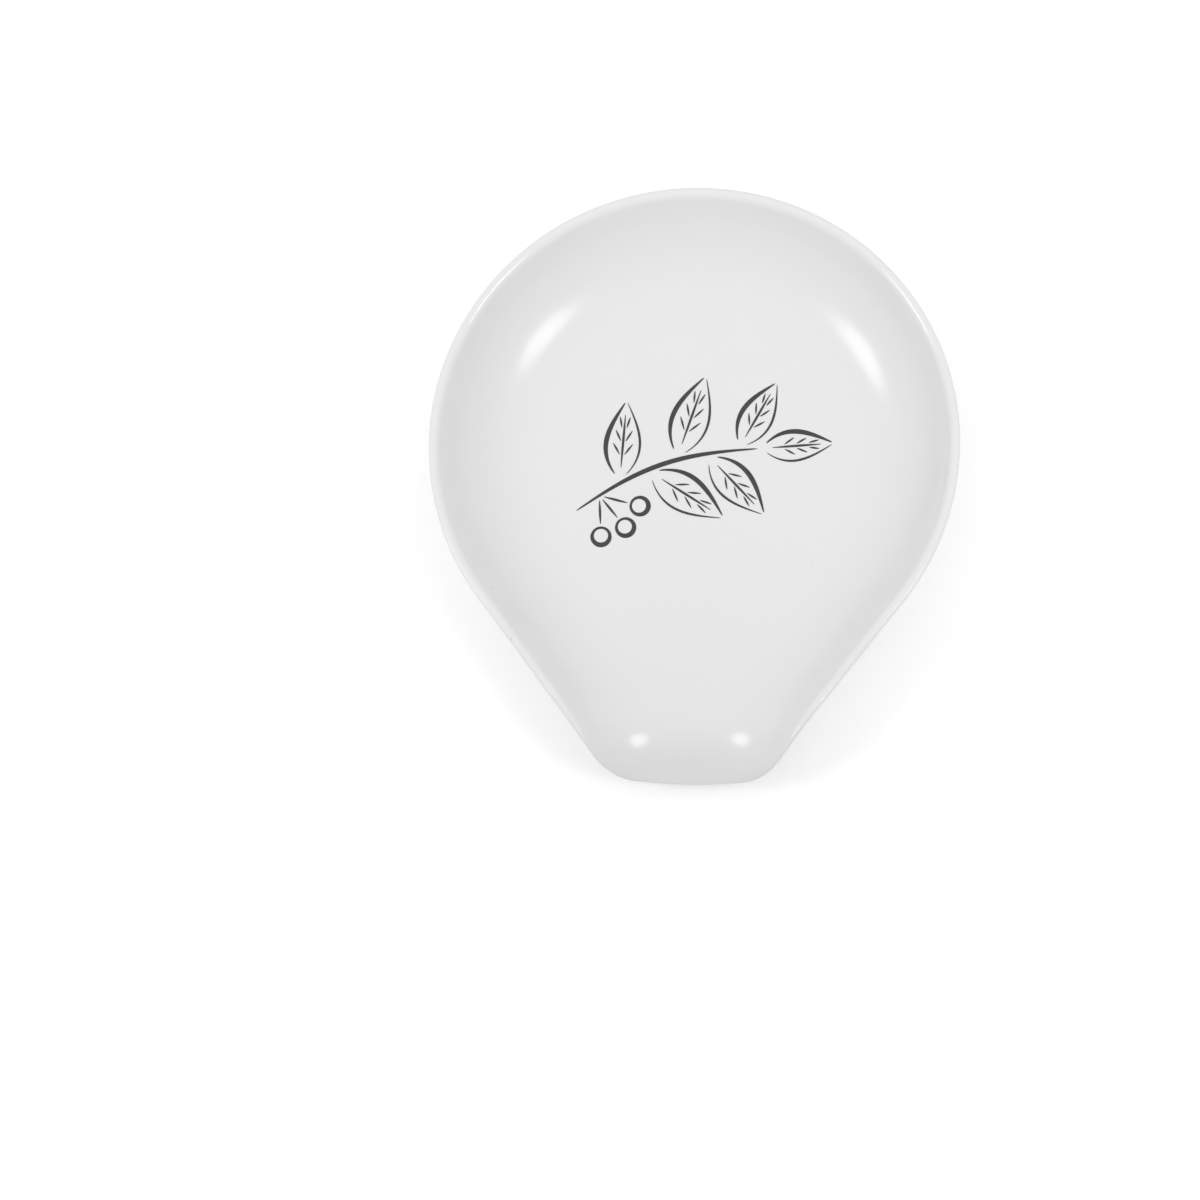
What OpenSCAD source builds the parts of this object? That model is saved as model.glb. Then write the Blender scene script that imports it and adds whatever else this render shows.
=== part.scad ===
// Glazed porcelain spoon rest: a round dish with a short pouring lip at the front,
// standing on a foot ring, with a leafy sprig printed in charcoal lines on its floor.
// The head's centre is on the Z axis, the lip points to -Y and the foot stands on Z = 0.

/* [Plan] */
// Diameter of the round head, over the rim
head_d = 108; // [100:1:120]
// Length from the back of the rim to the front of the lip
total_l = 121.5; // [117:0.5:128]
// Width of the straight front edge of the lip
front_w = 22; // [14:0.5:28]
// Radius of the two front corners
corner_r = 10.5; // [8:0.5:14]

/* [Bowl] */
// Diameter of the flat floor
floor_d = 61; // [54:1:66]
// Distance that the flat floor reaches into the lip, from the head's centre
floor_front = 41; // [38:0.5:44]
// Height of the cove from the floor to the rim
bowl_depth = 12; // [9:0.2:15]
// Thickness of the floor inside the foot ring
floor_t = 4.4; // [3.6:0.1:6]
// Width of the rounded rim, from its outer edge to the wall of the bowl
rim_w = 2.85; // [2.3:0.05:3.4]
// Radius of the rim's outer edge
edge_r = 0.75; // [0.5:0.05:1.1]

/* [Lip] */
// Part of the wall's height that is left at the lip
neck_share = 0.95; // [0.85:0.01:1]
// Where the wall starts to lose height, from the head's centre
neck_start = 20; // [14:1:26]
// Length over which the lip rolls down to its front edge
lip_l = 18; // [16:0.5:22]
// Height of the lip's front edge above the underside
lip_h = 3; // [2.6:0.1:4]

/* [Foot] */
// Outer diameter of the foot ring
foot_d = 50; // [44:1:56]
// Width of the foot ring
foot_w = 4; // [3:0.1:6]
// Height of the underside above the table, outside the ring
foot_h = 2; // [1.5:0.1:3]
// Depth of the recess inside the ring
recess_h = 3.4; // [2.4:0.1:4.2]
// Chamfer on the edges that stand on the table
foot_chamfer = 0.5; // [0.2:0.1:1]

/* [Glaze] */
// Thickness of the fired glaze
glaze_t = 0.3; // [0.2:0.05:0.5]
// Bare strip of porcelain left beside the foot ring
bare_w = 1; // [0.5:0.1:2]

/* [Print] */
// Margin between the print and the edge of the flat floor
print_margin = 2; // [1:0.1:6]
// Width of the bold strokes
bold_w = 1; // [0.6:0.05:1.3]
// Width of the fine strokes
fine_w = 0.5; // [0.3:0.05:0.7]
// Thickness of the ink
ink_t = 0.1; // [0.05:0.01:0.2]
// Length of the longest leaf
leaf_l = 18.5; // [13:0.5:20]
// Width of the longest leaf
leaf_w = 7.8; // [5:0.2:8.6]
// Number of side leaves on the sprig
leaf_n = 5; // [3:1:6]
// Diameter of a berry
berry_d = 4.4; // [3:0.1:5]
// Number of berries on the sprig
berry_n = 3; // [1:1:4]

/* [Hidden] */
$fn = 96;
// Points around the outline, and steps along the cove, the rim and the outer wall
around_n = 80;
cove_n = 8;
rim_n = 8;
wall_n = 5;
// Step used to measure a slope, and passes that settle the slope where the rim starts
probe = 0.05;
slope_passes = 6;
// Depth that the foot ring runs into the body
foot_root = 0.5;
// Flat strip between the outer wall and the bare strip
base_flat = 0.8;
// Distance from the front edge to where the underside turns level
front_under = 14;
// Height of the rim's inner round as a share of its width
rim_rise_share = 1.4;
// Power of the curve that the lip rolls down by: more turns it down later and harder
roll_power = 2.5;

head_r = head_d/2;
front_y = head_r - total_l;
rim_in = rim_w - edge_r;
rim_deep = rim_rise_share*rim_in;
floor_r = floor_d/2;
foot_r = foot_d/2;
foot_bore_r = foot_r - foot_w;
floor_z = recess_h + floor_t;
lip_top = foot_h + lip_h;
base_r = foot_r + bare_w;
head_under = head_r - base_r - base_flat;

// Cove: an arc that is tangent to the floor and rises bowl_depth over its width
cove_w = head_r - rim_w - floor_r;
cove_r = (cove_w*cove_w + bowl_depth*bowl_depth)/(2*bowl_depth);

// Plan outline: the head circle, two front corner circles and the lines tangent to them
corner = [front_w/2, front_y + corner_r];
corner_far = norm(corner);
side_a = asin((head_r - corner_r)/corner_far) - atan2(corner[0], -corner[1]);
len_head = head_r*(90 + side_a)*PI/180;
len_side = sqrt(corner_far*corner_far - (head_r - corner_r)*(head_r - corner_r));
len_corner = corner_r*(90 - side_a)*PI/180;
len_half = len_head + len_side + len_corner + front_w/2;

function arc_deg(len, r) = len/r*180/PI;
function on_head(s) = head_r*[sin(arc_deg(s, head_r)), cos(arc_deg(s, head_r))];
function on_side(s) = head_r*[cos(side_a), -sin(side_a)] - s*[sin(side_a), cos(side_a)];
function on_corner(s) =
    let (a = -side_a - arc_deg(s, corner_r))
    corner + corner_r*[cos(a), sin(a)];
// Point at distance s along the right half of the outline, from the back to the front
function half_point(s) =
    s <= len_head ? on_head(s)
    : s <= len_head + len_side ? on_side(s - len_head)
    : s <= len_head + len_side + len_corner ? on_corner(s - len_head - len_side)
    : [len_half - s, front_y];
function outline_point(i) =
    let (s = 2*len_half*i/around_n)
    s <= len_half ? half_point(s)
    : let (p = half_point(2*len_half - s)) [-p[0], p[1]];

// Top surface of the glaze: flat floor, cove and lip
function ease(t) = let (u = min(max(t, 0), 1)) u*u*(3 - 2*u);
// 1 beside the head and falling to 0 on the axis of the lip
function head_share(p) =
    let (a = atan2(-p[1], abs(p[0])))
    (1 + cos(180*min(max((a - side_a)/(90 - side_a), 0), 1)))/2;
function blend(at_lip, at_head, p) = at_lip + (at_head - at_lip)*head_share(p);
// Edge of the flat floor, and how fast the cove is crossed past it, on the line through p
lip_edge = [0, front_y + edge_r];
lip_pace = cove_w/(norm(lip_edge) - floor_front);
function floor_edge(p) = floor_r/blend(floor_r/floor_front, 1, p);
function across_cove(p) = max(norm(p) - floor_edge(p), 0)*blend(lip_pace, 1, p);
// Past its width the cove runs on straight
function cove_z(u) =
    u <= cove_w ? cove_r - sqrt(cove_r*cove_r - u*u)
    : bowl_depth + (u - cove_w)*cove_w/(cove_r - bowl_depth);
function neck(y) = 1 - (1 - neck_share)*ease((-y - neck_start)/(-front_y - neck_start));
function bowl_z(p) = floor_z + cove_z(across_cove(p))*neck(p[1]);
lip_drop = bowl_z(lip_edge) - lip_top;
function roll_share(y) = max(front_y + lip_l - y, 0)/(lip_l - edge_r);
function top_z(p) = bowl_z(p) - lip_drop*pow(roll_share(p[1]), roll_power);

// One section of the skin, on the line from the head's centre to outline point p.
// e is a distance inwards from the outline.
function inward(p, e) = p*(1 - e/norm(p));
function slope(p, e) = atan((top_z(inward(p, e)) - top_z(inward(p, e + probe)))/probe);
// The rim is round outside and elliptic inside; b turns from the inside over the top at 90.
function rim_wide(b) = b > 90 ? rim_in : edge_r;
function rim_high(b) = b > 90 ? rim_deep : edge_r;
function rim_point(b, top) = [edge_r - rim_wide(b)*cos(b), top - rim_high(b)*(1 - sin(b))];
// Where the rim has the slope a
function rim_turn(a) = 90 + atan2(rim_wide(90 + a)*sin(a), rim_high(90 + a)*cos(a));
function rim_start(p, b, n) = n == 0 ? b : rim_start(p, rim_turn(slope(p, rim_point(b, 0)[0])), n - 1);
function section(p) =
    let (in_a = rim_start(p, 90, slope_passes),
         rim_e = rim_point(in_a, 0)[0],
         floor_e = norm(p) - floor_edge(p),
         rim_top = top_z(inward(p, rim_e)) - rim_point(in_a, 0)[1],
         under_e = blend(front_under, head_under, p),
         across = under_e - edge_r,
         rise = rim_top - edge_r - foot_h,
         wall_r = (across*across + rise*rise - edge_r*edge_r)/(2*(rise - edge_r)),
         out_a = atan2(rise - wall_r, across))
    concat(
        [for (k = [0:cove_n - 1])
            let (e = floor_e + (rim_e - floor_e)*k/cove_n)
            [e, top_z(inward(p, e))]],
        [for (k = [0:rim_n])
            rim_point(in_a + (out_a - in_a)*k/rim_n, rim_top)],
        [for (k = [1:wall_n])
            let (b = out_a + (-90 - out_a)*k/wall_n)
            [under_e - wall_r*cos(b), foot_h + wall_r + wall_r*sin(b)]],
        [[norm(p) - base_r, foot_h]]);

outline = [for (i = [0:around_n - 1]) outline_point(i)];
sections = [for (p = outline) section(p)];
ring_n = len(sections[0]);
skin = [for (k = [0:ring_n - 1])
    [for (i = [0:around_n - 1])
        let (q = inward(outline[i], sections[i][k][0]))
        [q[0], q[1], sections[i][k][1]]]];

// Outward normal of the skin at ring k, point i
function skin_normal(k, i) =
    k == 0 ? [0, 0, 1]
    : k >= ring_n - 2 ? [0, 0, -1]
    : let (along = skin[k][(i + 1)%around_n] - skin[k][(i + around_n - 1)%around_n],
           out = skin[k + 1][i] - skin[k - 1][i],
           n = cross(along, out))
      n/norm(n);
under_skin = [for (k = [0:ring_n - 1])
    [for (i = [0:around_n - 1]) skin[k][i] - glaze_t*skin_normal(k, i)]];

// Closed solid through a list of rings; from ring number fold on, the quads split the other way
function band(k, n, folded) = [for (i = [0:n - 1])
    let (j = (i + 1)%n, a = k*n + i, b = k*n + j, c = (k + 1)*n + j, d = (k + 1)*n + i)
    each folded ? [[a, d, b], [d, c, b]] : [[a, d, c], [a, c, b]]];
module through_rings(rings, fold) {
    n = len(rings[0]);
    last = len(rings) - 1;
    polyhedron(
        points = [for (r = rings) each r],
        faces = concat(
            [[for (i = [0:n - 1]) i]],
            [for (k = [0:last - 1]) each band(k, n, k >= fold)],
            [[for (i = [n - 1:-1:0]) last*n + i]]));
}

module foot_ring() {
    top = foot_h + glaze_t + foot_root;
    c = foot_chamfer;
    rotate_extrude()
        polygon([[foot_bore_r, top], [foot_bore_r, c], [foot_bore_r + c, 0],
                 [foot_r - c, 0], [foot_r, c], [foot_r, top]]);
}

module porcelain_body() {
    color("#efece6")
    difference() {
        union() {
            through_rings(under_skin, ring_n);
            foot_ring();
        }
        translate([0, 0, -foot_root])
            cylinder(r = foot_bore_r, h = recess_h + glaze_t + foot_root);
    }
}

module glaze_coat() {
    color("#eaeae9")
    through_rings(concat(skin, [for (k = [ring_n - 1:-1:0]) under_skin[k]]), ring_n);
}

module base_glaze() {
    color("#eaeae9")
    translate([0, 0, recess_h])
        cylinder(r = foot_bore_r - bare_w, h = glaze_t);
}

// Print: every stroke follows a curve and swells from its ends, which have a share of its width
print_r = floor_r - print_margin;
stroke_n = 10;
tip_share = 0.25;
function swell(t) = tip_share + (1 - tip_share)*sin(180*t);
function left_of(v) = [-v[1], v[0]]/norm(v);
function turned(v, a) = [v[0]*cos(a) - v[1]*sin(a), v[0]*sin(a) + v[1]*cos(a)]/norm(v);
function straight(p, q) = [for (k = [0:stroke_n]) p + (q - p)*k/stroke_n];
module stroke(points, w) {
    n = len(points) - 1;
    sides = [for (i = [0:n])
        left_of(points[min(i + 1, n)] - points[max(i - 1, 0)])*w/2*swell(i/n)];
    translate([0, 0, floor_z])
        linear_extrude(ink_t)
            polygon(concat([for (i = [0:n]) points[i] + sides[i]],
                           [for (i = [n:-1:0]) points[i] - sides[i]]));
}

// The stem bends once, from the lower left of the floor to the foot of the last leaf,
// whose tip reaches the edge of the print
leaf_taper_share = 0.2;
stem_from = print_r*[-0.86, -0.4];
stem_bow = print_r*0.12;
tip_angle = 10;
tip_way = [cos(tip_angle), sin(tip_angle)];
stem_to = (print_r - bold_w - leaf_l*(1 - leaf_taper_share))*tip_way;
function stem_point(t) =
    stem_from + (stem_to - stem_from)*t + left_of(stem_to - stem_from)*stem_bow*sin(180*t);
function stem_way(t) = stem_point(t + probe) - stem_point(t - probe);

// Leaf number i: its place on the stem, direction and size; the last leaf ends the stem.
// A leaf is widest before its middle, and the leaves at the stem's ends are smaller.
first_leaf_share = 0.26;
last_leaf_share = 0.9;
leaf_angle = 56;
fullest_share = 0.8;
function leaf_t(i) =
    i == leaf_n ? 1
    : first_leaf_share + (last_leaf_share - first_leaf_share)*i/(leaf_n - 1);
function leaf_turn(i) = i == leaf_n ? 0 : i%2 == 0 ? leaf_angle : -leaf_angle;
function leaf_way(i) = turned(stem_way(leaf_t(i)), leaf_turn(i));
function leaf_size(i) = 1 - leaf_taper_share*abs(2*leaf_t(i) - 1);
// Point at share t of the leaf's length and share c of its half width
function leaf_point(i, t, c) =
    stem_point(leaf_t(i)) + leaf_way(i)*(bold_w + leaf_l*leaf_size(i)*t)
    + left_of(leaf_way(i))*leaf_w/2*leaf_size(i)*c*sin(180*pow(t, fullest_share));
function leaf_line(i, from, to, c) =
    [for (k = [0:stroke_n]) leaf_point(i, from + (to - from)*k/stroke_n, c)];

// Berries fan out on fine stalks from one place near the stem's foot
berry_share = 0.14;
berry_angle = -48;
berry_fan_angle = -36;
berry_r = berry_d/2;
stalk_l = (berry_r + fine_w)/sin(-berry_fan_angle/2) - berry_r - bold_w;
function berry_way(i) = turned(stem_way(berry_share), berry_angle + berry_fan_angle*i);
function berry_point(i, far) = stem_point(berry_share) + berry_way(i)*(bold_w + far);

module print_stem() {
    color("#4a4a4a")
    stroke([for (k = [0:2*stroke_n]) stem_point(k/(2*stroke_n))], bold_w);
}

module print_leaves() {
    leaf_start_share = 0.06;
    leaf_end_share = 0.97;
    color("#4a4a4a")
    for (i = [0:leaf_n]) {
        stroke(leaf_line(i, leaf_start_share, leaf_end_share, 1), bold_w);
        stroke(leaf_line(i, leaf_start_share, leaf_end_share, -1), fine_w);
    }
}

module print_veins() {
    vein_start_share = 0.14;
    vein_end_share = 0.82;
    side_n = 3;
    side_reach_share = 0.58;
    side_lean_share = 0.14;
    side_share = 0.8;
    color("#4a4a4a")
    for (i = [0:leaf_n]) {
        stroke(leaf_line(i, vein_start_share, vein_end_share, 0), fine_w);
        for (k = [1:side_n]) {
            t = vein_start_share + (vein_end_share - vein_start_share)*k/(side_n + 1);
            for (c = [-1, 1])
                stroke(straight(leaf_point(i, t, 0) + left_of(leaf_way(i))*c*fine_w,
                                leaf_point(i, t + side_lean_share, c*side_reach_share)),
                       fine_w*side_share);
        }
    }
}

module print_berries() {
    color("#4a4a4a")
    for (i = [0:berry_n - 1]) {
        centre = berry_point(i, stalk_l + berry_r);
        translate([centre[0], centre[1], floor_z])
            linear_extrude(ink_t)
                difference() {
                    circle(r = berry_r);
                    translate(berry_way(i)*(fine_w - bold_w)/2)
                        circle(r = berry_r - (bold_w + fine_w)/2);
                }
        stroke(straight(berry_point(i, 0), berry_point(i, stalk_l - fine_w)), fine_w);
    }
}

porcelain_body();
glaze_coat();
base_glaze();
print_stem();
print_leaves();
print_veins();
print_berries();
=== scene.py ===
import math

import bmesh
import bpy
from mathutils import Matrix, Vector


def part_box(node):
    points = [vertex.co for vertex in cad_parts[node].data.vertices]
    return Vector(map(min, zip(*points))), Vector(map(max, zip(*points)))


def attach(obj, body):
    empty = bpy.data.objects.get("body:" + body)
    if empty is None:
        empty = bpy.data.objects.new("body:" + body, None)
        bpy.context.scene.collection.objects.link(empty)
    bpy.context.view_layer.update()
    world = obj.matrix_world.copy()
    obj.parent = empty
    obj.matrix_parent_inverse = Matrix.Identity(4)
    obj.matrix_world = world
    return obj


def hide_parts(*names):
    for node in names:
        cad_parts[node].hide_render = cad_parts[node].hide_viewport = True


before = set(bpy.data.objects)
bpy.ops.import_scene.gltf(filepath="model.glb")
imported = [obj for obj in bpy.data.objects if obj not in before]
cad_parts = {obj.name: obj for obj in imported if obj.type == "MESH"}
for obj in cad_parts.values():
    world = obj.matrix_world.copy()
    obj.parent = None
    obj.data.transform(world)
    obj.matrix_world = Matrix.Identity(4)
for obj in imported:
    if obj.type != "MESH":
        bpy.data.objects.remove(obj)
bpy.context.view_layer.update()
print("frame loaded with", len(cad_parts), "nodes")

# a glazed porcelain spoon rest: sizes are in millimetres until a point goes into a mesh
mm = 0.001
glazeLow, glazeHigh = (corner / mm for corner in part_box("glaze_coat"))
inkLow, inkHigh = (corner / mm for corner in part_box("print_stem"))
patchLow, patchHigh = (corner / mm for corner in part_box("base_glaze"))
headR = glazeHigh.y
frontY = glazeLow.y
undersideZ = glazeLow.z
floorZ = inkLow.z
inkThick = inkHigh.z - inkLow.z
glazeThick = patchHigh.z - patchLow.z


def newPiece(name, bm, material, slotName, *nodes):
    mesh = bpy.data.meshes.new(name)
    bm.to_mesh(mesh)
    bm.free()
    for face in mesh.polygons:
        face.use_smooth = True
    mesh.materials.append(material)
    piece = bpy.data.objects.new(name, mesh)
    bpy.context.scene.collection.objects.link(piece)
    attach(piece, "root")
    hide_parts(*nodes)
    return piece


def srgb(hexText):
    parts = [int(hexText[i:i + 2], 16) / 255 for i in (1, 3, 5)]
    return [c / 12.92 if c <= 0.04045 else ((c + 0.055) / 1.055) ** 2.4 for c in parts] + [1.0]


def addNode(tree, kind, settings=None, links=None):
    node = tree.nodes.new("ShaderNode" + kind)
    for key, value in (settings or {}).items():
        if isinstance(key, int) or key in node.inputs:
            node.inputs[key].default_value = value
        else:
            setattr(node, key, value)
    for key, source in (links or {}).items():
        tree.links.new(source, node.inputs[key])
    return node


def newMaterial(name):
    material = bpy.data.materials.new(name)
    material.use_nodes = True
    tree = material.node_tree
    shader = tree.nodes["Principled BSDF"]
    place = addNode(tree, "TexCoord").outputs["Object"]
    return material, tree, shader, place


def every(size):
    return 1 / (size * mm)  # texture scale for a pattern that repeats each size mm


# glossy glaze: dipped and fired, so it looks wet and smooth with a slow wave in its shine, sharper in
# gloss where it runs thin on the rim, with painted light there that makes the rim a shade lighter, and a
# few tiny specks
glaze = {
    "thick": "#EBEBEB", "thinRimAndPaintedLight": "#EDEDED", "speck": "#BDBBB8", "cloud": 26, "cloudShift": 0.35,
    "wave": 7.0, "waveDeep": 0.006, "peel": 1.1, "peelDeep": 0.0012,
    "speckCell": 4.0, "speckSize": 0.04, "speckShare": 0.07,
    "roughness": (0.16, 0.22), "rimRoughness": 0.05, "ior": 1.5,
}


def makeGlaze():
    material, tree, shader, place = newMaterial("porcelainGlazeGloss")
    cloud = addNode(tree, "TexNoise", {"Scale": every(glaze["cloud"]), "Detail": 3.0}, {"Vector": place})
    thinRimAndPaintedLight = addNode(tree, "Attribute", {"attribute_name": "thinGlazeAndPaintedLight"})
    thinCloud = addNode(tree, "Math", {"operation": "MULTIPLY", 1: glaze["cloudShift"]},
                        {0: cloud.outputs["Fac"]})
    share = addNode(tree, "Math", {"operation": "ADD", "use_clamp": True},
                    {0: thinRimAndPaintedLight.outputs["Fac"], 1: thinCloud.outputs[0]})
    # painted light: where the rim's glaze runs thin, the tone is mixed a shade lighter for the light the
    # rim crest catches
    tone = addNode(tree, "Mix", {"data_type": "RGBA", 6: srgb(glaze["thick"]), 7: srgb(glaze["thinRimAndPaintedLight"])},
                   {0: share.outputs[0]})
    cells = addNode(tree, "TexVoronoi", {"Scale": every(glaze["speckCell"])}, {"Vector": place})
    inSpeck = addNode(tree, "Math", {"operation": "LESS_THAN", 1: glaze["speckSize"]},
                      {0: cells.outputs["Distance"]})
    someCells = addNode(tree, "SeparateColor", {}, {"Color": cells.outputs["Color"]})
    isKept = addNode(tree, "Math", {"operation": "LESS_THAN", 1: glaze["speckShare"]},
                     {0: someCells.outputs["Red"]})
    speck = addNode(tree, "Math", {"operation": "MULTIPLY"},
                    {0: inSpeck.outputs[0], 1: isKept.outputs[0]})
    colour = addNode(tree, "Mix", {"data_type": "RGBA", 7: srgb(glaze["speck"])},
                     {0: speck.outputs[0], 6: tone.outputs[2]})
    soft = addNode(tree, "MapRange", {"To Min": glaze["roughness"][0], "To Max": glaze["roughness"][1]},
                   {"Value": cloud.outputs["Fac"]})
    gloss = addNode(tree, "Mix", {"data_type": "FLOAT", 3: glaze["rimRoughness"]},
                    {0: thinRimAndPaintedLight.outputs["Fac"], 2: soft.outputs[0]})
    wave = addNode(tree, "TexNoise", {"Scale": every(glaze["wave"]), "Detail": 1.0}, {"Vector": place})
    peel = addNode(tree, "TexNoise", {"Scale": every(glaze["peel"]), "Detail": 1.0}, {"Vector": place})
    slowBump = addNode(tree, "Bump", {"Distance": glaze["waveDeep"] * mm},
                       {"Height": wave.outputs["Fac"]})
    bump = addNode(tree, "Bump", {"Distance": glaze["peelDeep"] * mm},
                   {"Height": peel.outputs["Fac"], "Normal": slowBump.outputs[0]})
    tree.links.new(colour.outputs[2], shader.inputs["Base Color"])
    tree.links.new(gloss.outputs[0], shader.inputs["Roughness"])
    tree.links.new(bump.outputs[0], shader.inputs["Normal"])
    shader.inputs["IOR"].default_value = glaze["ior"]
    return material


# bare porcelain: fired without glaze, so the foot is matt and faintly warm, like fine eggshell,
# with grey scuffs on the band that slides on the table
bisque = {
    "clay": "#ECE8E0", "deep": "#E2DCD1", "scuff": "#A5A199", "grain": 0.35, "grainDeep": 0.02,
    "cloud": 6.0, "scuffLong": 3.0, "scuffTop": 0.25, "scuffFrom": (0.55, 0.75), "roughness": 0.72,
}


def makeBisque():
    material, tree, shader, place = newMaterial("porcelainBareFired")
    cloud = addNode(tree, "TexNoise", {"Scale": every(bisque["cloud"]), "Detail": 4.0}, {"Vector": place})
    clay = addNode(tree, "Mix", {"data_type": "RGBA", 6: srgb(bisque["clay"]), 7: srgb(bisque["deep"])},
                   {0: cloud.outputs["Fac"]})
    height = addNode(tree, "SeparateXYZ", {}, {0: place})
    atTable = addNode(tree, "MapRange", {"From Min": bisque["scuffTop"] * mm, "From Max": 0.0},
                      {"Value": height.outputs["Z"]})
    streak = addNode(tree, "TexNoise",
                     {"Scale": every(bisque["scuffLong"]), "Detail": 6.0, "Roughness": 0.7},
                     {"Vector": place})
    worn = addNode(tree, "MapRange",
                   {"From Min": bisque["scuffFrom"][0], "From Max": bisque["scuffFrom"][1]},
                   {"Value": streak.outputs["Fac"]})
    scuff = addNode(tree, "Math", {"operation": "MULTIPLY", "use_clamp": True},
                    {0: atTable.outputs[0], 1: worn.outputs[0]})
    colour = addNode(tree, "Mix", {"data_type": "RGBA", 7: srgb(bisque["scuff"])},
                     {0: scuff.outputs[0], 6: clay.outputs[2]})
    grain = addNode(tree, "TexNoise", {"Scale": every(bisque["grain"]), "Detail": 2.0}, {"Vector": place})
    bump = addNode(tree, "Bump", {"Distance": bisque["grainDeep"] * mm}, {"Height": grain.outputs["Fac"]})
    tree.links.new(colour.outputs[2], shader.inputs["Base Color"])
    tree.links.new(bump.outputs[0], shader.inputs["Normal"])
    shader.inputs["Roughness"].default_value = bisque["roughness"]
    return material


# ceramic transfer ink: screen printed and fired into the glaze, so it is a soft charcoal with
# a little less shine than the glaze, and its density drifts along a stroke
ink = {
    "full": "#212121", "faint": "#454544", "drift": 2.6, "screen": 0.35, "screenShare": 0.3,
    "roughness": 0.3,
}


def makeInk():
    material, tree, shader, place = newMaterial("ceramicInkTransfer")
    drift = addNode(tree, "TexNoise", {"Scale": every(ink["drift"]), "Detail": 2.0}, {"Vector": place})
    screen = addNode(tree, "TexNoise", {"Scale": every(ink["screen"]), "Detail": 1.0}, {"Vector": place})
    density = addNode(tree, "Mix", {"data_type": "FLOAT", 0: ink["screenShare"]},
                      {2: drift.outputs["Fac"], 3: screen.outputs["Fac"]})
    colour = addNode(tree, "Mix", {"data_type": "RGBA", 6: srgb(ink["full"]), 7: srgb(ink["faint"])},
                     {0: density.outputs[0]})
    tree.links.new(colour.outputs[2], shader.inputs["Base Color"])
    shader.inputs["Roughness"].default_value = ink["roughness"]
    return material


glazeMaterial = makeGlaze()
bisqueMaterial = makeBisque()
inkMaterial = makeInk()
print("materials made")

# dish: a flat floor, a cove that is tangent to it, a rim that is round outside and drawn out inside,
# and a lip that rolls down
dish = {
    "floorR": 30.5, "floorFront": 41.0, "bowlDepth": 12.0,
    "rimWidth": 2.85, "rimRise": 1.4, "edgeR": 0.75,
    "frontWidth": 22.0, "cornerR": 10.5, "neckShare": 0.95, "neckStart": 20.0,
    "lipLength": 18.0, "lipHeight": 3.0, "rollPower": 2.5, "frontUnder": 14.0, "baseFlat": 0.8,
    "footR": 25.0, "footWidth": 4.0, "bareWidth": 1.0, "footRound": 0.5,
    "around": 320, "floorRings": 5, "coveRings": 26, "rimRings": 20, "wallRings": 14, "footRings": 6,
    # these rings also fade out the lighter tone painted on the rim for light
    "fadeRings": 3,  # rings over which the thin glaze of the rim fades out
    "slopeStep": 0.05, "slopePasses": 6,
}
edgeR = dish["edgeR"]
rimIn = dish["rimWidth"] - edgeR
rimDeep = dish["rimRise"] * rimIn
coveW = headR - dish["rimWidth"] - dish["floorR"]
coveR = (coveW ** 2 + dish["bowlDepth"] ** 2) / (2 * dish["bowlDepth"])
baseR = dish["footR"] + dish["bareWidth"]
lipTop = undersideZ + dish["lipHeight"]
lipEdge = Vector((0, frontY + edgeR))
lipPace = coveW / (lipEdge.length - dish["floorFront"])
cornerAt = Vector((dish["frontWidth"] / 2, frontY + dish["cornerR"]))
radiusGap = headR - dish["cornerR"]
sideTurn = math.asin(radiusGap / cornerAt.length) - math.atan2(cornerAt.x, -cornerAt.y)
headLine = headR * (math.pi / 2 + sideTurn)
sideLine = math.sqrt(cornerAt.length_squared - radiusGap ** 2)
cornerLine = dish["cornerR"] * (math.pi / 2 - sideTurn)


def clamp(t):
    return min(max(t, 0.0), 1.0)


# outline of the dish: head circle, straight side, front corner and half the front edge
def halfOutline(s):
    if s <= headLine:
        return headR * Vector((math.sin(s / headR), math.cos(s / headR)))
    s -= headLine
    outward = Vector((math.cos(sideTurn), -math.sin(sideTurn)))
    if s <= sideLine:
        return headR * outward - s * Vector((math.sin(sideTurn), math.cos(sideTurn)))
    s -= sideLine
    if s <= cornerLine:
        turn = -sideTurn - s / dish["cornerR"]
        return cornerAt + dish["cornerR"] * Vector((math.cos(turn), math.sin(turn)))
    return Vector((cornerAt.x - (s - cornerLine), frontY))


def makeOutline(count):
    half = headLine + sideLine + cornerLine + cornerAt.x
    points = []
    for i in range(count):
        s = 2 * half * i / count
        p = halfOutline(min(s, 2 * half - s))
        points.append(p if s <= half else Vector((-p.x, p.y)))
    return points


# 1 beside the head, and 0 on the axis of the lip
def headShare(p):
    turn = math.atan2(-p.y, abs(p.x))
    return (1 + math.cos(math.pi * clamp((turn - sideTurn) / (math.pi / 2 - sideTurn)))) / 2


def blend(atLip, atHead, p):
    return atLip + (atHead - atLip) * headShare(p)


def floorEdge(p):
    return dish["floorR"] / blend(dish["floorR"] / dish["floorFront"], 1, p)


def bowlZ(p):
    across = max(p.length - floorEdge(p), 0) * blend(lipPace, 1, p)
    rise = coveR - math.sqrt(coveR ** 2 - min(across, coveW) ** 2)
    rise += max(across - coveW, 0) * coveW / (coveR - dish["bowlDepth"])
    t = clamp((-p.y - dish["neckStart"]) / (-frontY - dish["neckStart"]))
    return floorZ + rise * (1 - (1 - dish["neckShare"]) * t * t * (3 - 2 * t))


def topZ(p):
    rolled = max(frontY + dish["lipLength"] - p.y, 0) / (dish["lipLength"] - edgeR)
    return bowlZ(p) - (bowlZ(lipEdge) - lipTop) * rolled ** dish["rollPower"]


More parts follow.
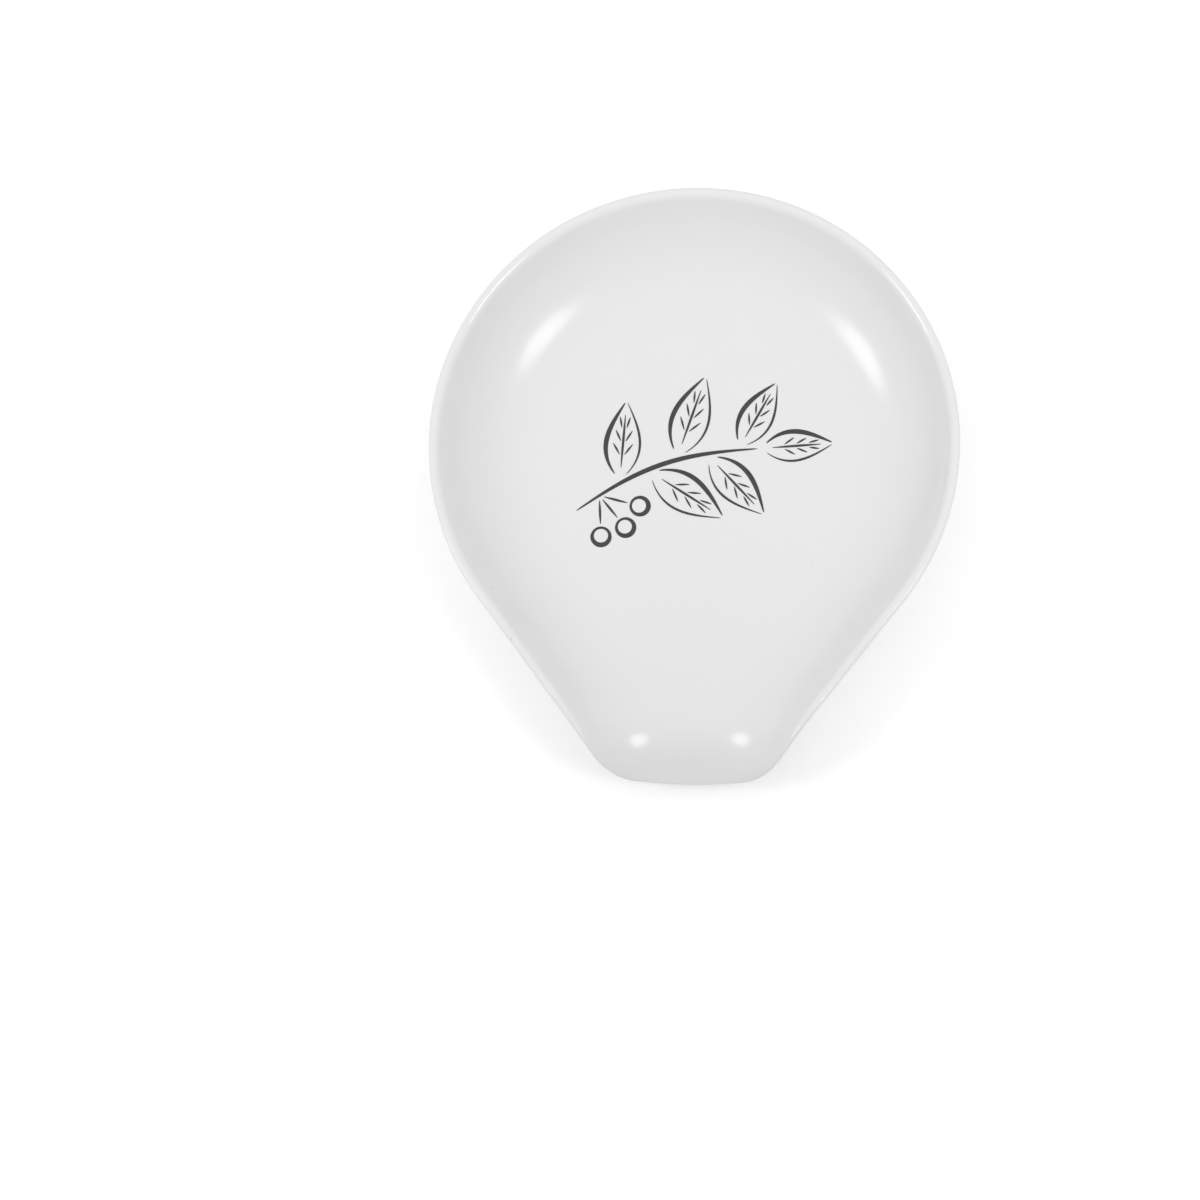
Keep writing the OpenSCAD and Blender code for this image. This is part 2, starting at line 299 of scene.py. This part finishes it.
# one section from the floor's edge over the rim to the foot: (distance in from the outline, height)
def makeSection(p):
    far, step = p.length, dish["slopeStep"]

    def onRay(e):
        return p * (1 - e / far)

    tilt = 0.0
    for _ in range(dish["slopePasses"]):
        wide, deep = (rimIn, rimDeep) if tilt > 0 else (edgeR, edgeR)
        turn = math.atan2(wide * math.sin(tilt), deep * math.cos(tilt))
        rimE = edgeR + wide * math.sin(turn)
        tilt = math.atan((topZ(onRay(rimE)) - topZ(onRay(rimE + step))) / step)
    rimTop = topZ(onRay(rimE)) + deep * (1 - math.cos(turn))
    floorIn = far - floorEdge(p)
    points = []
    for k in range(dish["coveRings"]):
        e = floorIn + (rimE - floorIn) * k / dish["coveRings"]
        points.append((e, topZ(onRay(e))))
    underIn = blend(dish["frontUnder"], headR - baseR - dish["baseFlat"], p)
    across, rise = underIn - edgeR, rimTop - edgeR - undersideZ
    wallR = (across ** 2 + rise ** 2 - edgeR ** 2) / (2 * (rise - edgeR))
    outTurn = math.atan2(rise - wallR, across)
    inTurn = math.pi / 2 + turn
    for k in range(dish["rimRings"] + 1):
        turn = inTurn + (outTurn - inTurn) * k / dish["rimRings"]
        wide, deep = (rimIn, rimDeep) if turn > math.pi / 2 else (edgeR, edgeR)
        points.append((edgeR - wide * math.cos(turn), rimTop - deep * (1 - math.sin(turn))))
    for k in range(1, dish["wallRings"] + 1):
        turn = outTurn + (-math.pi / 2 - outTurn) * k / dish["wallRings"]
        points.append((underIn - wallR * math.cos(turn), undersideZ + wallR * (1 + math.sin(turn))))
    points.append((far - baseR, undersideZ))
    return points


outline = makeOutline(dish["around"])
sections = [makeSection(p) for p in outline]
ringCount = len(sections[0])


# grows the open edge of a mesh by one ring, and puts each new vertex where place says
def growRing(bm, edges, station, place):
    grown = bmesh.ops.extrude_edge_only(bm, edges=edges)["geom"]
    for v in grown:
        if isinstance(v, bmesh.types.BMVert):
            v.co = place(v[station]) * mm
    return [e for e in grown if isinstance(e, bmesh.types.BMEdge) and e.is_boundary]


# the skin of the dish, from the middle of its floor over the rim and down to the foot,
# with the edges where it ends and the layer that says which point of the outline a vertex is on
def growSkin():
    bm = bmesh.new()
    station = bm.verts.layers.int.new("station")
    thinRimAndPaintedLight = bm.verts.layers.float.new("thinGlazeAndPaintedLight")
    ring = bmesh.ops.create_circle(bm, cap_ends=True, cap_tris=True, segments=dish["around"], radius=1)
    step = 2 * math.pi / dish["around"]
    middle = 1 / (dish["floorRings"] + 1)
    for v in ring["verts"]:
        if v.is_boundary:
            v[station] = round(math.atan2(v.co.x, v.co.y) / step) % dish["around"]

    def onFloor(i, share):
        p = outline[i]
        return (p * (share * floorEdge(p) / p.length)).to_3d() + Vector((0, 0, floorZ))

    for v in ring["verts"]:
        v.co = onFloor(v[station], middle) * mm if v.is_boundary else Vector((0, 0, floorZ)) * mm
    edges = [e for e in bm.edges if e.is_boundary]
    for k in range(2, dish["floorRings"] + 1):
        edges = growRing(bm, edges, station, lambda i: onFloor(i, k * middle))
    for k in range(ringCount):
        def onSection(i):
            e, z = sections[i][k]
            q = outline[i] * (1 - e / outline[i].length)
            return Vector((q.x, q.y, z))
        edges = growRing(bm, edges, station, onSection)
        # the rim's share of thin glaze, which also marks where the lighter tone is painted for light on
        # the rim
        offRim = max(dish["coveRings"] - k, k - dish["coveRings"] - dish["rimRings"], 0)
        for v in {v for e in edges for v in e.verts}:
            v[thinRimAndPaintedLight] = clamp(1 - offRim / dish["fadeRings"])
    bmesh.ops.recalc_face_normals(bm, faces=bm.faces)
    bm.faces.ensure_lookup_table()
    if bm.faces[0].normal.z < 0:  # the floor faces up
        bmesh.ops.reverse_faces(bm, faces=bm.faces)
    bm.normal_update()
    return bm, edges, station


coat = newPiece("glaze_skin", growSkin()[0], glazeMaterial, "white_glaze", "glaze_coat")
shell = coat.modifiers.new("glaze thickness", "SOLIDIFY")
shell.thickness = glazeThick * mm
shell.offset = -1
print("glaze skin made,", len(coat.data.polygons), "faces")


# porcelain body: the same skin set in by the glaze, then the bare strip, the foot and its recess
def makeBody():
    bm, edges, station = growSkin()
    insets = [(v, v.co - v.normal * glazeThick * mm) for v in bm.verts]
    for v, co in insets:
        v.co = co
    outerR, innerR, r = dish["footR"], dish["footR"] - dish["footWidth"], dish["footRound"]
    bareZ, recessZ = undersideZ + glazeThick, patchHigh.z
    corners = [(outerR + r, bareZ - r, 90, 180), (outerR - r, r, 0, -90),
               (innerR + r, r, -90, -180), (innerR - r, recessZ - r, 0, 90)]
    profile = []
    for x, z, start, end in corners:
        for k in range(dish["footRings"] + 1):
            turn = math.radians(start + (end - start) * k / dish["footRings"])
            profile.append((x + r * math.cos(turn), z + r * math.sin(turn)))
    profile += [(innerR / 2, recessZ), (r, recessZ)]
    for radius, z in profile:
        def onFoot(i):
            q = outline[i].normalized() * radius
            return Vector((q.x, q.y, z))
        edges = growRing(bm, edges, station, onFoot)
    bmesh.ops.contextual_create(bm, geom=edges)
    bmesh.ops.recalc_face_normals(bm, faces=bm.faces)
    return bm


newPiece("fired_body", makeBody(), bisqueMaterial, "bare_porcelain", "porcelain_body")
print("porcelain body made")

# glaze patch inside the foot ring: a shallow pool with a rounded shore
patch = {"segments": 128, "shore": 0.12, "shoreSteps": 4}
bm = bmesh.new()
bmesh.ops.create_circle(bm, cap_ends=True, segments=patch["segments"], radius=patchHigh.x * mm)
bmesh.ops.translate(bm, verts=bm.verts, vec=(0, 0, patchHigh.z * mm))
lower = bmesh.ops.extrude_face_region(bm, geom=bm.faces[:])["geom"]
bmesh.ops.translate(bm, verts=[v for v in lower if isinstance(v, bmesh.types.BMVert)],
                    vec=(0, 0, -glazeThick * mm))
bmesh.ops.recalc_face_normals(bm, faces=bm.faces)
shoreLine = [e for e in bm.edges if all(v.co.z < (patchHigh.z - glazeThick / 2) * mm for v in e.verts)]
bmesh.ops.bevel(bm, geom=shoreLine, offset=patch["shore"] * mm, affect="EDGES",
                segments=patch["shoreSteps"], profile=0.5, material=-1)
newPiece("base_glaze_pool", bm, glazeMaterial, "white_glaze", "base_glaze")
print("base glaze made")

# printed sprig: every stroke swells from its tips, and the ink lies slightly domed on the floor
sprig = {
    "margin": 2.0, "bold": 1.0, "fine": 0.5, "tipShare": 0.25, "tipRound": 0.02,
    "steps": 28, "across": 4, "wayStep": 0.01, "weld": 0.002, "dome": 0.45,
    "from": Vector((-0.86, -0.4)), "bow": 0.12, "tipTurn": 10, "leafLength": 18.5, "leafWidth": 7.8,
    "leaves": 5, "taper": 0.2, "firstLeaf": 0.26, "lastLeaf": 0.9, "leafTurn": 56, "fullest": 0.8,
    "outline": (0.06, 0.97), "midrib": (0.14, 0.82), "sideVeins": 3, "veinReach": 0.58, "veinLean": 0.14,
    "veinShare": 0.8, "berries": 3, "berryD": 4.4, "berryAt": 0.14, "berryTurn": -48, "berryFan": -36,
}
printR = dish["floorR"] - sprig["margin"]
berryR = sprig["berryD"] / 2
stemFrom = printR * sprig["from"]
tipReach = printR - sprig["bold"] - sprig["leafLength"] * (1 - sprig["taper"])
tipTurn = math.radians(sprig["tipTurn"])
stemTo = tipReach * Vector((math.cos(tipTurn), math.sin(tipTurn)))
stalkLength = ((berryR + sprig["fine"]) / math.sin(math.radians(-sprig["berryFan"] / 2))
               - berryR - sprig["bold"])


def leftOf(v):
    return Vector((-v.y, v.x)).normalized()


def turned(v, degrees):
    return Matrix.Rotation(math.radians(degrees), 2) @ v.normalized()


def stemPoint(t):
    along = stemTo - stemFrom
    return stemFrom + along * t + leftOf(along) * printR * sprig["bow"] * math.sin(math.pi * t)


def stemWay(t):
    return stemPoint(t + dish["slopeStep"]) - stemPoint(t - dish["slopeStep"])


def leafAt(i):
    spread = sprig["lastLeaf"] - sprig["firstLeaf"]
    return 1 if i == sprig["leaves"] else sprig["firstLeaf"] + spread * i / (sprig["leaves"] - 1)


def leafWay(i):
    side = 0 if i == sprig["leaves"] else (1, -1)[i % 2]
    return turned(stemWay(leafAt(i)), side * sprig["leafTurn"])


# point at share t of the leaf's length and share c of its half width
def leafPoint(i, t, c):
    size = 1 - sprig["taper"] * abs(2 * leafAt(i) - 1)
    swell = math.sin(math.pi * t ** sprig["fullest"])
    return (stemPoint(leafAt(i)) + leafWay(i) * (sprig["bold"] + sprig["leafLength"] * size * t)
            + leftOf(leafWay(i)) * sprig["leafWidth"] / 2 * size * c * swell)


def berryPoint(i, far):
    way = turned(stemWay(sprig["berryAt"]), sprig["berryTurn"] + sprig["berryFan"] * i)
    return stemPoint(sprig["berryAt"]) + way * (sprig["bold"] + far)


# one stroke of ink along path, a function of t from 0 to 1: width is a number, or a function of t
# for a closed stroke
def inkStroke(bm, path, width, closed=False):
    across = bm.verts.layers.float["across"]
    step = sprig["wayStep"]
    grid = bmesh.ops.create_grid(bm, x_segments=sprig["steps"], y_segments=sprig["across"], size=0.5)
    for v in grid["verts"]:
        c = v[across] = 2 * v.co.y
        t = v.co.x + 0.5 if closed else (1 - math.cos(math.pi * (v.co.x + 0.5))) / 2
        if closed:
            way = path(t + step) - path(t - step)
            half = width(t) / 2
        else:
            way = path(min(t + step, 1)) - path(max(t - step, 0))
            swell = sprig["tipShare"] + (1 - sprig["tipShare"]) * math.sin(math.pi * t)
            half = width * swell / 2 * math.sqrt(clamp(min(t, 1 - t) / sprig["tipRound"]))
        q = path(t) + leftOf(way) * half * c
        v.co = Vector((q.x, q.y, floorZ)) * mm
    faces = list(dict.fromkeys(f for v in grid["verts"] for f in v.link_faces))
    bmesh.ops.remove_doubles(bm, verts=grid["verts"], dist=sprig["weld"] * mm)
    faces = [f for f in faces if f.is_valid]
    raised = bmesh.ops.extrude_face_region(bm, geom=faces)["geom"]
    for v in raised:
        if isinstance(v, bmesh.types.BMVert):
            v.co.z += inkThick * mm * (1 - sprig["dome"] * v[across] ** 2)


def makePrint(name, node, strokes):
    bm = bmesh.new()
    bm.verts.layers.float.new("across")
    for stroke in strokes:
        inkStroke(bm, *stroke)
    bmesh.ops.recalc_face_normals(bm, faces=bm.faces)
    newPiece(name, bm, inkMaterial, "fired_ink", node)


def between(a, b):
    return lambda t: a + (b - a) * t


def leafLine(i, ends, c):
    return lambda t: leafPoint(i, ends[0] + (ends[1] - ends[0]) * t, c)


def sideVein(i, k, c):
    start, end = sprig["midrib"]
    t = start + (end - start) * k / (sprig["sideVeins"] + 1)
    root = leafPoint(i, t, 0) + leftOf(leafWay(i)) * c * sprig["fine"]
    return between(root, leafPoint(i, t + sprig["veinLean"], c * sprig["veinReach"]))


def berryRing(i):
    bold, fine = sprig["bold"], sprig["fine"]
    centre = berryPoint(i, stalkLength + berryR)
    way = (centre - stemPoint(sprig["berryAt"])).normalized()

    def wide(t):
        return (bold + fine) / 2 + (bold - fine) / 2 * math.cos(2 * math.pi * t)

    def path(t):
        return centre + turned(way, 360 * t) * (berryR - wide(t) / 2)

    return path, wide, True


everyLeaf = range(sprig["leaves"] + 1)
everyBerry = range(sprig["berries"])
makePrint("ink_stem", "print_stem", [(stemPoint, sprig["bold"])])
makePrint("ink_leaves", "print_leaves",
          [(leafLine(i, sprig["outline"], 1), sprig["bold"]) for i in everyLeaf]
          + [(leafLine(i, sprig["outline"], -1), sprig["fine"]) for i in everyLeaf])
makePrint("ink_veins", "print_veins",
          [(leafLine(i, sprig["midrib"], 0), sprig["fine"]) for i in everyLeaf]
          + [(sideVein(i, k, c), sprig["fine"] * sprig["veinShare"]) for i in everyLeaf
             for k in range(1, sprig["sideVeins"] + 1) for c in (-1, 1)])
makePrint("ink_berries", "print_berries",
          [berryRing(i) for i in everyBerry]
          + [(between(berryPoint(i, 0), berryPoint(i, stalkLength - sprig["fine"])), sprig["fine"])
             for i in everyBerry])
print("sprig printed")

# camera: the photograph looks down on the dish, a little from the right of the lip
view = {"azimuth": 19.35, "elevation": 76.92, "roll": -18.1, "distance": 900.0, "pixels": 1200,
        "pixelsPerMm": 4.8155, "headPixel": (698.35, 467.7), "sensor": 36.0, "clip": (0.01, 50.0)}
azimuth, elevation, roll = (math.radians(view[k]) for k in ("azimuth", "elevation", "roll"))
back = Vector((math.sin(azimuth) * math.cos(elevation), -math.cos(azimuth) * math.cos(elevation),
               math.sin(elevation)))
levelRight = Vector((math.cos(azimuth), math.sin(azimuth), 0))
right = math.cos(roll) * levelRight + math.sin(roll) * back.cross(levelRight)
up = back.cross(right)
camera = bpy.data.objects.new("camera", bpy.data.cameras.new("camera"))
bpy.context.scene.collection.objects.link(camera)
offRight = (view["headPixel"][0] - view["pixels"] / 2) / view["pixelsPerMm"]
offUp = (view["pixels"] / 2 - view["headPixel"][1]) / view["pixelsPerMm"]
eye = (back * view["distance"] - right * offRight - up * offUp) * mm
camera.matrix_world = Matrix.Translation(eye) @ Matrix((right, up, back)).transposed().to_4x4()
camera.data.sensor_width = view["sensor"]
camera.data.lens = view["sensor"] * view["distance"] * view["pixelsPerMm"] / view["pixels"]
camera.data.clip_start, camera.data.clip_end = view["clip"]
bpy.context.scene.camera = camera
print("camera set, lens", round(camera.data.lens, 1))

# studio, in metres: a white floor, fill that is brighter from above, two soft lamps left and right
# of the camera, and a small dark card in front of the lip
studio = {
    "floorSize": (6.0, 6.0), "floor": "#F4F4F4", "floorLift": 0.25,
    "fill": 0.567, "fillLean": (0, -0.025, 0.33),
    "lampFar": 0.87, "lampSize": (0.27, 0.26), "lampPower": 1.03,
    "left": (-45.0, 1.3), "right": (29.4, -3.4),  # degrees across and up from the camera
    "card": "#303030", "cardSize": (0.15, 0.06), "cardAt": (0, -0.125, 0.055),
}


# 1 where the camera sees the background, straight or in a mirror or glass
def seenDirectly(tree):
    path = addNode(tree, "LightPath")
    mirrored = addNode(tree, "Math", {"operation": "MAXIMUM"},
                       {0: path.outputs["Is Glossy Ray"], 1: path.outputs["Is Transmission Ray"]})
    return addNode(tree, "Math", {"operation": "MAXIMUM"},
                   {0: path.outputs["Is Camera Ray"], 1: mirrored.outputs[0]}).outputs[0]


def addLamp(name, turn, tilt):
    turn, tilt = math.radians(turn), math.radians(tilt)
    way = (math.sin(turn) * right + math.cos(turn) * back) * math.cos(tilt) + math.sin(tilt) * up
    data = bpy.data.lights.new(name, "AREA")
    data.shape = "ELLIPSE"
    data.size, data.size_y = studio["lampSize"]
    data.energy = studio["lampPower"]
    lamp = bpy.data.objects.new(name, data)
    lamp.location = way * studio["lampFar"]
    across = up.cross(way).normalized()
    lamp.rotation_euler = Matrix((across, way.cross(across), way)).transposed().to_euler()
    bpy.context.scene.collection.objects.link(lamp)


addLamp("left lamp", *studio["left"])
addLamp("right lamp", *studio["right"])

paper = bpy.data.materials.new("studioPaper")
paper.use_nodes = True
tree = paper.node_tree
tree.nodes.clear()
paperLit = addNode(tree, "BsdfDiffuse", {"Color": srgb(studio["floor"])})
lift = addNode(tree, "Math", {"operation": "MULTIPLY", 1: studio["floorLift"]}, {0: seenDirectly(tree)})
paperLift = addNode(tree, "Emission", {}, {"Strength": lift.outputs[0]})
paperBoth = addNode(tree, "AddShader", {}, {0: paperLit.outputs[0], 1: paperLift.outputs[0]})
addNode(tree, "OutputMaterial", {}, {"Surface": paperBoth.outputs[0]})

felt = bpy.data.materials.new("studioFelt")
felt.use_nodes = True
felt.node_tree.nodes["Principled BSDF"].inputs["Base Color"].default_value = srgb(studio["card"])


def addSheet(name, material, size, turn, place):
    bm = bmesh.new()
    bmesh.ops.create_grid(bm, x_segments=1, y_segments=1, size=0.5)
    bmesh.ops.scale(bm, verts=bm.verts, vec=(*size, 1))
    bmesh.ops.rotate(bm, verts=bm.verts, matrix=Matrix.Rotation(math.radians(turn), 3, "X"))
    bmesh.ops.translate(bm, verts=bm.verts, vec=place)
    mesh = bpy.data.meshes.new(name)
    bm.to_mesh(mesh)
    bm.free()
    mesh.materials.append(material)
    sheet = bpy.data.objects.new(name, mesh)
    bpy.context.scene.collection.objects.link(sheet)
    return sheet


addSheet("floor", paper, studio["floorSize"], 0, (0, 0, 0))
card = addSheet("card", felt, studio["cardSize"], 90, studio["cardAt"])
card.visible_camera = card.visible_glossy = False  # it only shades the lip

world = bpy.data.worlds.new("studio")
world.use_nodes = True
bpy.context.scene.world = world
tree = world.node_tree
tree.nodes.clear()
lean = addNode(tree, "VectorMath", {"operation": "DOT_PRODUCT", 1: studio["fillLean"]},
               {0: addNode(tree, "TexCoord").outputs["Generated"]})
strength = addNode(tree, "Math", {"operation": "ADD", 1: studio["fill"]}, {0: lean.outputs["Value"]})
fill = addNode(tree, "Background", {}, {"Strength": strength.outputs[0]})
white = addNode(tree, "Background", {"Strength": 1.0})
for backdrop in (fill, white):
    backdrop.inputs["Color"].default_value = (1, 1, 1, 1)
either = addNode(tree, "MixShader", {}, {0: seenDirectly(tree), 1: fill.outputs[0], 2: white.outputs[0]})
addNode(tree, "OutputWorld", {}, {"Surface": either.outputs[0]})
bpy.context.scene.view_settings.view_transform = "Standard"
print("studio lit")
